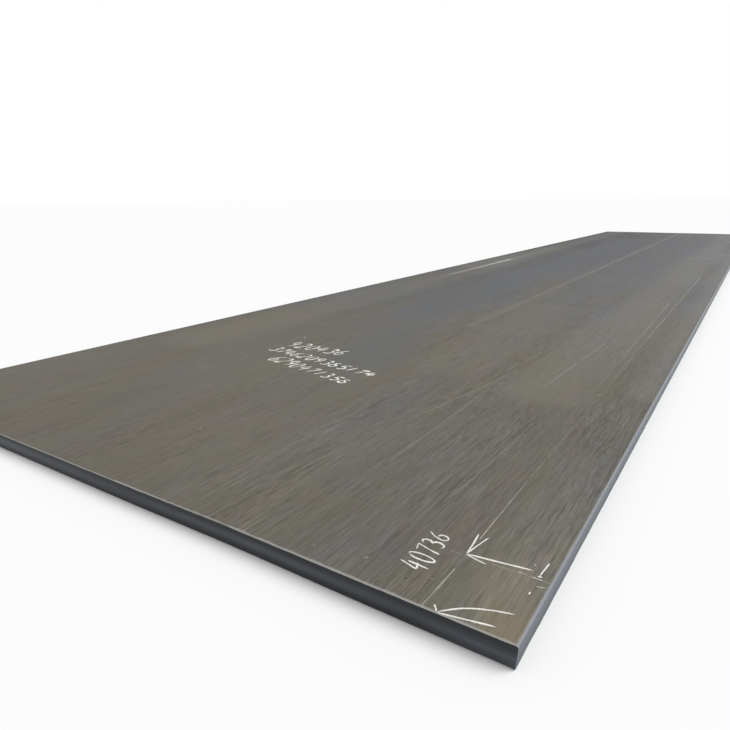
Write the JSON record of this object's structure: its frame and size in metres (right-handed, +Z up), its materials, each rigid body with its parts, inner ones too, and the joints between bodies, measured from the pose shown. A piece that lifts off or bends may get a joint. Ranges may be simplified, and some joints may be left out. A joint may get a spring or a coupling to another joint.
{
  "type": "steel plate",
  "caption": "Thick flat rectangular hot-rolled steel plate with mill scale on its faces and four sheared edges, lying flat.",
  "frame": {"origin": "centre of the plate's underside", "axes": "+X across the plate, +Y along its length in the rolling direction, +Z up through its thickness"},
  "size_m": [2.5, 12.55, 0.05],
  "materials": {
    "hot_rolled_steel": "hot-rolled mill scale, brownish grey, with darker blue-grey sheared edges"
  },
  "bodies": {
    "root": {"steel_plate": "hot_rolled_steel"}
  },
  "joints": []
}
